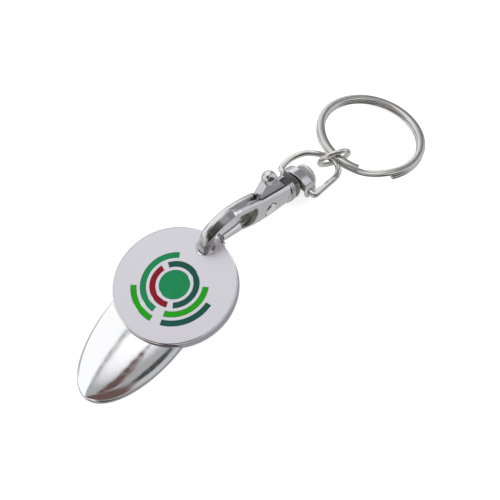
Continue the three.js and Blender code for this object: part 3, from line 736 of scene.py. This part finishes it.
class KEYRING_OT_hook(bpy.types.Operator):
    """Build the hook's casting: beak, barrel, collars, flange and spigot"""
    bl_idname = "keyring.hook"
    bl_label = "Hook body"

    def execute(self, context):
        sizes = bench_sizes("hook")
        front, rear = sizes.barrel_front, sizes.barrel_rear
        half = sizes.barrel_height / 2
        wide = sizes.barrel_width
        eye = sizes.eye
        eye_back = 0.3 - front
        eye_top = half * 0.53
        hook = on_bench("hook", barrel_skin(sizes))
        mouth = plate([(-16, -12), (eye_back, -12), (eye_back, eye_top), (-16, eye_top)], wide)
        carve(hook, [moved(rod(eye, -wide, wide, "Y"), x=eye_back), mouth])
        tail = spun(tail_profile(sizes, bench_sizes("rings")), "X", 72)
        carve(hook, [tail, beak_skin(sizes)], "UNION")

        pin_z = -sizes.pin_drop
        boss = sizes.pin + BOSS_WALL
        flange = rear + FLANGE_GAP
        channel_end = flange - 0.3
        channel_half = sizes.channel / 2
        floor = 1 - half
        shelf = half - 0.6
        slot = plate([(THROAT, 5), (channel_end, 5), (channel_end, shelf), (5.3, shelf), (5.3, floor + 0.6),
                      (2.7, floor - 0.3), (1.5, -half), (-boss, -half), (-boss, -12), (-front - PAST, -12),
                      (-front - PAST, half / 2), (THROAT, half / 2)], channel_half)
        head = sizes.pin_head + FIT
        seat = wide / 2 - HEAD_DEPTH
        across = ((sizes.pin + FIT, -wide, wide), (head, seat, wide), (head, -wide, -seat))
        carve(hook, [slot, skin([[GROOVE_TIP], GROOVE_END]),
                     *(moved(rod(radius, start, end, "Y"), z=pin_z) for radius, start, end in across),
                     rod(RIVET_STEM + FIT, flange - FIT, 12, "X")])
        soften(hook, sizes.grain, 5)
        place(hook, hook_matrix(), HOOK_FINISHES, "hook", "hook_body")

        # Painted light and shade: darker finishes go where shade falls and on a dark reflection, and a
        # brighter one on a highlight.
        for face, (x, y, z), heading in facets(hook, hook_matrix()):
            in_slot = abs(y) < channel_half + 0.02 and -3.4 < x < channel_end and z < half - 0.25
            in_eye = hypot(x - eye_back, z) < eye + 0.06 and x > eye_back + 0.6 and abs(y) < 1.7
            in_groove = -7 < x < -3 and abs(y + 0.05) < 0.18 * (x + 7.3) and face.normal.z < 0.84 and z > 1.9
            in_collar_groove = any(abs(x - rear + ahead) < 0.09 for ahead in COLLAR_GROOVES)
            on_near_beak = y < -0.1 and x < -9.0
            on_flat = on_near_beak and x < -10.7 and -0.62 < heading.y < -0.3 and heading.z > -0.4
            on_glint = on_near_beak and x > -10.7 and -0.8 < heading.y < -0.22 and heading.z > 0
            # A painted shadow: a crescent on one side of the pin's head, towards the nose and the top.
            round_pin = (abs(hypot(x, z - pin_z) - head) < 0.12 and abs(y) > seat - 0.3
                         and x < z - pin_z + 0.6)
            behind = x > rear + 0.1
            # Painted shade: a near black on the channel's rear top and on the upper side behind the barrel.
            if in_slot and x > 4.6 and z > 1 or behind and z + 0.6 * y > 0.9:
                finish = "slate_top"
            # Painted shade: the flange gets the darker nickel.
            elif flange + 0.1 < x < flange + FLANGE_LENGTH - 0.05:
                finish = "lever_side"
            # Painted shade: the channel, the eye, the crescent by the pin's head and the parts behind the
            # barrel get the dark grey.
            elif in_slot or in_eye or round_pin or behind:
                finish = "cast_inside"
            # Painted shade: the grooves get the darker nickel.
            elif in_groove or in_collar_groove:
                finish = "lever_side"
            # Painted reflection: the beak's flat gets the dark nickel.
            elif on_flat:
                finish = "flat_shade"
            # Painted highlight: the beak's near shoulder gets the bright mirror.
            elif on_glint:
                finish = "tongue_mirror"
            else:
                continue
            face.material_index = HOOK_FINISHES.index(finish)
        return {"FINISHED"}


LEVER_FINISHES = ["hook_nickel", "cast_inside", "lever_side", "tongue_mirror"]


class KEYRING_OT_lever(bpy.types.Operator):
    """Build the gate lever with its thumb knob"""
    bl_idname = "keyring.lever"
    bl_label = "Gate lever"

    def execute(self, context):
        sizes = bench_sizes("hook")
        front = sizes.barrel_front
        nose = beak_path(sizes)[-1]
        nose_half = BEAK_TAPER[-1][1] * sizes.beak_thickness / 2
        tip = nose.x - nose_half * cos(NOSE_END) - PLAY
        gate = sizes.gate
        gate_low = nose.z - nose_half * sin(NOSE_END) + PLAY
        gate_top = gate_low + gate
        root_top = gate_low + gate * 1.7
        root_low = -sizes.barrel_height / 2 - sizes.belly * 0.85
        pin = sizes.pin
        pin_z = -sizes.pin_drop
        boss = pin + BOSS_WALL
        knob = sizes.knob
        rise = sizes.knob_rise
        knob_foot = rise - knob * 0.4
        outline = [(tip, gate_low), (tip, gate_top), (-front - 0.3, root_top), (-3.9, pin_z - pin),
                   (-3.1, pin_z + boss), (-3.1, 3.4), (-knob * 1.6, knob_foot), (knob * 0.3, knob_foot),
                   (0.4, 4.5), (2.6, 4.1), (4.3, 2.65), (4.3, 1.65), (2.8, 1.65), (boss, pin_z + pin),
                   (pin, pin_z - boss), (-boss, pin_z - boss), (THROAT, root_low + gate * 0.35),
                   (-front, root_low)]
        thick = sizes.channel / 2 - 0.1
        lever = on_bench("lever", plate(outline, thick))
        ball = bmesh.new()
        bmesh.ops.create_uvsphere(ball, u_segments=48, v_segments=32, radius=knob - 0.015)
        carve(lever, [moved(ball, x=-knob * 0.65, z=rise)], "UNION")
        slope = skin([[(x, y - thick, top + z) for y, z in ((0.55, 0.1), (-0.1, -0.55), (-0.5, 0.5))]
                      for x, top in ((tip - 0.5, gate_top - 0.05), (-front - 0.1, root_top))])
        carve(lever, [moved(rod(pin + FIT, -3, 3, "Y"), z=pin_z), slope])
        soften(lever, sizes.grain * 0.7, 2)
        place(lever, hook_matrix(), LEVER_FINISHES, "lever", "gate_lever")

        for face, (x, y, z), heading in facets(lever, hook_matrix()):
            # Painted light and shade on the lever: a highlight on the gate's edge, and shade on a strip of
            # its top, on its root and on its sides.
            on_gate = x < -front
            # Painted highlight: the gate's near top edge gets the bright mirror.
            if on_gate and abs(heading.y + sqrt(0.5)) < 0.2 and heading.z > 0.5:
                finish = "tongue_mirror"
            # Painted shade: a strip of the gate's top and the root inside the barrel get the dark grey.
            elif (on_gate and heading.z > 0.8 and y < 0.72 - thick) or (-front + 0.7 < x < 2.8 and z < 2.2):
                finish = "cast_inside"
            # Painted shade: the lever's sides get the darker nickel.
            elif abs(heading.y) > 0.9 and z > 2:
                finish = "lever_side"
            else:
                continue
            face.material_index = LEVER_FINISHES.index(finish)
        return {"FINISHED"}


class KEYRING_OT_pins(bpy.types.Operator):
    """Build the lever's pin and the swivel's rivet"""
    bl_idname = "keyring.pins"
    bl_label = "Pin and rivet"

    def execute(self, context):
        sizes = bench_sizes("hook")
        rings = bench_sizes("rings")
        pin = sizes.pin
        shoulder = sizes.barrel_width / 2 - 0.14
        cap = dome(sizes.pin_head, shoulder, 0.4, 15)
        stem = [(pin, 0.02 - shoulder), (pin, shoulder - 0.02)]
        profile = [(radius, -at) for radius, at in reversed(cap)] + stem + cap
        made = on_bench("lever_pin", moved(spun(profile, "Y", 64), z=-sizes.pin_drop))
        place(made, hook_matrix(), ["tongue_mirror"], "hook", "lever_pivot_pin", 40 * DEGREE)

        start = sizes.barrel_rear + FLANGE_GAP
        seat = rings.yoke_start + rings.yoke_length + 0.4
        head = rings.rivet_head
        profile = [(0, start), (RIVET_STEM, start), (RIVET_STEM, seat), (head - 0.15, seat),
                   (head, seat + 0.15), *dome(head, seat + 0.4, 0.5, 10)]
        made = on_bench("rivet", spun(profile, "X", 64))
        place(made, hook_matrix(), ["wire_steel", "pale_seat"], "hook", "swivel_rivet",
              40 * DEGREE)
        # Painted highlight: the ring at the rivet head's seat gets the near white.
        for face, middle, _ in facets(made, hook_matrix()):
            if seat - 0.05 < middle.x < seat + 0.16:
                face.material_index = 1
        return {"FINISHED"}


class KEYRING_OT_spring(bpy.types.Operator):
    """Build the coil spring under the lever's heel"""
    bl_idname = "keyring.spring"
    bl_label = "Lever spring"

    def execute(self, context):
        turn_steps = 32
        steps = round(3.5 * turn_steps)
        radius, rise, wire = 0.5, 2.3, 0.1
        middle = hook_matrix().inverted() @ box_middle("lever_spring") * BENCH
        points = [middle + on_circle(radius, i / turn_steps * tau, (i / steps - 0.5) * rise)
                  for i in range(steps + 1)]
        made = on_bench("spring", round_wire(points, wire, 10))
        place(made, hook_matrix(), ["wire_steel"], "hook", "lever_spring")
        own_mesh(made)
        return {"FINISHED"}


# Swivel and rings.
YOKE_FINISHES = ["hook_nickel", "cast_inside", "tongue_mirror"]
YOKE_GRAIN = 0.085
# The D-ring's bow from the near leg to the far one, in shares of its length and of half its width.
D_RING = [(0.22, -1.05), (0.45, -1.05), (0.62, -1.05), (0.75, -1.01), (0.85, -0.89), (0.93, -0.69),
          (0.975, -0.46), (0.96, -0.1), (0.88, 0.29), (0.70, 0.74), (0.44, 0.98), (0.21, 1.02)]
WIRE_CREASE = 50 * DEGREE


def arch(half_width, top, bottom, start, end):
    """A prism along x with a flat bottom and a flattened round top."""
    outline = [(-half_width, -bottom), (half_width, -bottom)]
    for i in range(0, 181, 2):
        across, rise = cos(i * DEGREE), sin(i * DEGREE)
        y = copysign(abs(across) ** 0.86, across) * half_width
        outline.append((y, (top + 0.5) * rise ** 0.86 - 0.5))
    return skin([[(x, y, z) for y, z in outline] for x in (start, end)])


class KEYRING_OT_yoke(bpy.types.Operator):
    """Build the swivel's yoke"""
    bl_idname = "keyring.yoke"
    bl_label = "Yoke"

    def execute(self, context):
        sizes = bench_sizes("rings")
        start = sizes.yoke_start
        end = start + sizes.yoke_length
        half = sizes.yoke_width
        top = sizes.yoke_top
        wall = sizes.yoke_wall
        yoke = on_bench("yoke", arch(half, top, 1.3, start, end))
        hollow = arch(half - wall, top - wall, 2.3, start - PAST, end - 1.5)
        taper = plate([(start - PAST, 1.9), (start, 1.9), (start + 0.35, 0.9), (start + 0.5, -0.3),
                       (start + 0.95, -1.3), (start + 0.95, -2.3), (start - PAST, -2.3)], half + PAST)
        slanted_back = plate([(end - 1.25, 3), (end + 1, 3), (end + 1, -0.2), (end, -0.2)], half + PAST)
        ears = rod(sizes.d_wire / 2 + PLAY, -half - PAST, half + PAST, "Y")
        carve(yoke, [hollow, taper, slanted_back, rod(RIVET_STEM + PLAY, start, end + PAST, "X"),
                     moved(ears, x=start + EAR_INSET)])
        soften(yoke, YOKE_GRAIN, 7)
        place(yoke, hook_matrix(), YOKE_FINISHES, "swivel", "swivel_yoke")
        for face, (x, y, z), heading in facets(yoke, hook_matrix()):
            # Painted shade: the inside of the yoke gets the dark grey.
            if abs(y) < half - wall + 0.1 and z < top - wall + 0.1 and x < end - 1.4:
                face.material_index = YOKE_FINISHES.index("cast_inside")
            # Painted highlight: the yoke's front rim gets the bright mirror.
            elif heading.x < -0.6 and x < start + 0.4:
                face.material_index = YOKE_FINISHES.index("tongue_mirror")
        return {"FINISHED"}


class KEYRING_OT_d_ring(bpy.types.Operator):
    """Build the bent wire D-ring"""
    bl_idname = "keyring.d_ring"
    bl_label = "D-ring"

    def execute(self, context):
        sizes = bench_sizes("rings")
        wire = sizes.d_wire / 2
        leg = sizes.yoke_width + 2 * PLAY + wire
        near = leg * 1.05
        foot = sizes.yoke_width - sizes.yoke_wall
        bend = 0.225
        knots = [(0, -foot), (0, -(near + foot) / 2), (0, 0.35 - near), (0.12, 0.1 - near), (0.4, -near)]
        knots += [(x * sizes.d_length, y * leg) for x, y in D_RING]
        knots += [(bend, leg - bend), (0, (leg + foot) / 2), (0, foot)]
        path = smooth_path([Vector((x, y, 0)) for x, y in knots], 8)
        made = on_bench("d_ring_wire", round_wire(path, wire))
        matrix = joint_place("d_ring_hinge") @ Matrix.Rotation(sizes.d_pitch, 4, "Y")
        place(made, matrix, ["wire_steel"], "d_ring", "d_ring", WIRE_CREASE)
        return {"FINISHED"}


class KEYRING_OT_jump_ring(bpy.types.Operator):
    """Build the jump ring between the D-ring and the split ring"""
    bl_idname = "keyring.jump_ring"
    bl_label = "Jump ring"

    def execute(self, context):
        sizes = bench_sizes("rings")
        wire = sizes.jump_wire / 2
        radius = sizes.jump_inner / 2 + wire
        slit = 0.25 / radius
        slit_at = 40 * DEGREE
        steps = 120
        start = slit_at + slit / 2
        points = [on_circle(radius, start + (tau - slit) * i / steps) for i in range(steps + 1)]
        made = on_bench("jump_wire", round_wire(points, wire))
        turn = Matrix.Rotation(-sizes.jump_yaw, 4, "Z") @ Matrix.Rotation(pi / 2 + sizes.jump_lean, 4, "X")
        place(made, Matrix.Translation(box_middle("jump_ring")) @ turn, ["wire_steel"], "jump_ring",
              "jump_ring", WIRE_CREASE)
        return {"FINISHED"}


class KEYRING_OT_split_ring(bpy.types.Operator):
    """Build the split ring: almost two turns of flat wire with a step between them"""
    bl_idname = "keyring.split_ring"
    bl_label = "Split ring"

    def execute(self, context):
        sizes = bench_sizes("rings")
        layer = sizes.strand_thickness + sizes.split_gap
        upper_end = 212 * DEGREE
        step = 44 * DEGREE
        first = tau - step
        whole = 2 * first + step + 4 * DEGREE
        springing = 60 * DEGREE
        steps = 360
        points = []
        for i in range(steps + 1):
            passed = whole * i / steps
            into = min(max((passed - first) / step, 0), 1)
            eased = into * into * (3 - 2 * into)
            sprung = max(0.0, 1 - (whole - passed) / springing) ** 2 * 0.45
            points.append(on_circle(sizes.split_radius, upper_end - passed, layer * (0.5 - eased) - sprung))
        wide = sizes.strand_width / 2
        thick = sizes.strand_thickness / 2
        made = on_bench("split_wire", swept(points, UP, lambda passed: wide, lambda passed: thick, 2.1, 24))
        turn = Matrix.Rotation(-sizes.split_yaw, 4, "Z") @ Matrix.Rotation(sizes.split_pitch, 4, "Y")
        place(made, Matrix.Translation(box_middle("split_ring")) @ turn, ["ring_steel"], "split_ring",
              "split_ring", WIRE_CREASE)
        return {"FINISHED"}


# Stage. The room's soft boxes and dark places: (direction, cosines of the angles where the edge starts and
# ends, colour).
ROOM = [
    ((0, 0, 1), 0.2, 0.75, (0.44, 0.44, 0.44)),
    ((-0.97, 0.1, 0.2), 0.78, 0.92, (0.9, 0.9, 0.9)),
    ((0.854, 0.356, 0.365), 0.9, 0.99, (0.3, 0.3, 0.31)),
    ((0.66, 0.36, 0.66), 0.965, 0.99, (0.72, 0.72, 0.73)),
    ((0.36, 0.42, 0.83), 0.94, 0.97, (1.25, 1.24, 1.28)),
    ((0.15, 0.4, 0.9), 0.945, 0.98, (1.35, 1.34, 1.38)),
    ((0, 1, 0), 0.455, 0.475, (0.4, 0.4, 0.41)),
    ((0, 1, 0), 0.485, 0.505, (1.15, 1.15, 1.15)),
    ((-0.15, 0.92, 0.2), 0.955, 0.985, (0.5, 0.5, 0.52)),
    ((-0.1, -0.9, 0.42), 0.74, 0.86, (0.065, 0.06, 0.05)),
    ((-0.65, -0.65, 0.3), 0.86, 0.94, (0.075, 0.07, 0.06)),
    ((0.85, -0.4, 0.25), 0.82, 0.95, (0.85, 0.85, 0.91)),
    ((0.42, -0.36, 0.83), 0.955, 0.98, (1.05, 1.05, 1.06)),
    ((-0.52, 0, 0.85), 0.93, 0.955, (0.15, 0.095, 0.085)),
    ((-0.2, 0.215, 0.955), 0.9978, 0.9988, (0.14, 0.085, 0.075)),
    ((-0.15, 0.25, 0.955), 0.9986, 0.9993, (0.14, 0.085, 0.075)),
    ((-0.115, 0.275, 0.954), 0.9993, 0.9997, (0.13, 0.08, 0.07)),
    ((-0.085, 0.3, 0.95), 0.9996, 0.9999, (0.13, 0.08, 0.07)),
    ((-0.13, -0.23, 0.96), 0.985, 0.993, (0.58, 0.59, 0.59)),
    ((-0.118, 0.005, 0.993), 0.9955, 0.9978, (0.065, 0.07, 0.075)),
]
KEY_PLACE = Vector((-0.12, 0.3, 0.32))
CAMERA_PLACE = (-0.129471, -0.121385, 0.288177)
FLOOR_HALF = 1.5


def studio_patch(tree, heading, under, toward, start, end, rgb):
    """Lays a soft-edged patch of the room over what lies under it."""
    towards = node(tree, "VectorMath", "Value", {
        "operation": "DOT_PRODUCT", 0: heading, 1: Vector(toward).normalized()})
    edge = node(tree, "MapRange", "Result", {
        "interpolation_type": "SMOOTHSTEP", "Value": towards, "From Min": start, "From Max": end})
    return mixed_colour(tree, edge, under, rgb)


def world_light(settings):
    """Soft light from all round, the room for what is mirrored, and plain white behind the keyring."""
    world = bpy.data.worlds.new("studio")
    world.use_nodes = True
    bpy.context.scene.world = world
    tree = world.node_tree
    tree.nodes.clear()
    heading = node(tree, "TexCoord", "Generated", {})
    room = tuple(settings.wall)
    for toward, start, end, rgb in ROOM:
        room = studio_patch(tree, heading, room, toward, start, end, rgb)
    soft, white, glint = (
        node(tree, "Background", "Background", {"Color": rgb, "Strength": strength})
        for rgb, strength in (((1, 1, 1, 1), settings.ambient), ((1, 1, 1, 1), 1.0), (room, 1.0)))
    rays = tree.nodes.new("ShaderNodeLightPath").outputs
    lit = mixed_shader(tree, rays["Is Glossy Ray"], soft, glint)
    seen = node(tree, "Math", "Value", {
        "operation": "MAXIMUM", 0: rays["Is Camera Ray"], 1: rays["Is Transmission Ray"]})
    fill(tree, tree.nodes.new("ShaderNodeOutputWorld"), {"Surface": mixed_shader(tree, seen, lit, white)})


def floor_material(settings):
    """White paper that is lifted to plain white where the camera sees it, and is greyer in the metal."""
    material, tree, shader = start_material("floor_white")
    speckle = noise_on(tree, 60.0, 2.0)
    fill(tree, shader, {"Roughness": 0.9, "Specular IOR Level": 0.0,
                        "Base Color": tinted(tree, speckle, settings.floor, 0.01)})
    paper = shader.outputs["BSDF"]
    lift, mirrored = (node(tree, "Emission", "Emission", {"Strength": strength})
                      for strength in (0.5, 0.62))
    lifted = node(tree, "AddShader", "Shader", {0: paper, 1: lift})
    rays = tree.nodes.new("ShaderNodeLightPath").outputs
    look = mixed_shader(tree, rays["Is Camera Ray"], paper, lifted)
    look = mixed_shader(tree, rays["Is Glossy Ray"], look, mirrored)
    fill(tree, tree.nodes["Material Output"], {"Surface": look})
    return material


def key_lamp(settings):
    """A weak soft lamp behind the keyring, aimed at its middle, which the metal doesn't mirror."""
    lamp = bpy.data.lights.new("key_lamp", "AREA")
    lamp.shape = "RECTANGLE"
    lamp.size = 0.35
    lamp.size_y = 0.25
    lamp.energy = settings.key
    key = linked("key_lamp", lamp)
    key.location = KEY_PLACE
    key.rotation_euler = (-KEY_PLACE).to_track_quat("-Z", "Y").to_euler()
    key.visible_glossy = False


def camera_for(settings):
    data = bpy.data.cameras.new("camera")
    data.lens = settings.focal
    data.clip_start = 0.01
    camera = linked("camera", data)
    camera.location = CAMERA_PLACE
    camera.rotation_euler = (pi / 2 - settings.elevation, 0, settings.turn)
    return camera


class KEYRING_OT_stage(bpy.types.Operator):
    """Set up the floor, the soft light and the camera"""
    bl_idname = "keyring.stage"
    bl_label = "Stage"

    def execute(self, context):
        settings = context.scene.keyring_stage
        bm = bmesh.new()
        bmesh.ops.create_grid(bm, x_segments=4, y_segments=4, size=FLOOR_HALF)
        floor = on_bench("floor", bm)
        floor.data.materials.append(floor_material(settings))
        world_light(settings)
        key_lamp(settings)
        context.scene.camera = camera_for(settings)
        context.scene.view_settings.view_transform = "Standard"
        return {"FINISHED"}


class VIEW3D_PT_keyring(bpy.types.Panel):
    """Sizes and colours of the keyring"""
    bl_label = "Keyring"
    bl_space_type = "VIEW_3D"
    bl_region_type = "UI"
    bl_category = "Keyring"

    def draw(self, context):
        for name, group in GROUPS.items():
            box = self.layout.box()
            for key in group.__annotations__:
                box.prop(getattr(context.scene, name), key)
        for operator in OPERATORS:
            self.layout.operator(operator.bl_idname)


GROUPS = {"keyring_token": TokenSizes, "keyring_hook": HookSizes, "keyring_rings": RingSizes,
          "keyring_finishes": Finishes, "keyring_stage": StageSettings}
OPERATORS = (KEYRING_OT_token, KEYRING_OT_enamel, KEYRING_OT_hook, KEYRING_OT_lever, KEYRING_OT_pins,
             KEYRING_OT_spring, KEYRING_OT_yoke, KEYRING_OT_d_ring, KEYRING_OT_jump_ring,
             KEYRING_OT_split_ring, KEYRING_OT_stage)
CLASSES = (*GROUPS.values(), *OPERATORS, VIEW3D_PT_keyring)


def register():
    for made in CLASSES:
        bpy.utils.register_class(made)
    for name, group in GROUPS.items():
        setattr(bpy.types.Scene, name, bpy.props.PointerProperty(type=group))


def unregister():
    for name in GROUPS:
        delattr(bpy.types.Scene, name)
    for made in reversed(CLASSES):
        bpy.utils.unregister_class(made)


def main():
    register()
    for operator in OPERATORS:
        getattr(bpy.ops.keyring, operator.bl_idname.split(".")[1])()


if __name__ == "__main__":
    main()
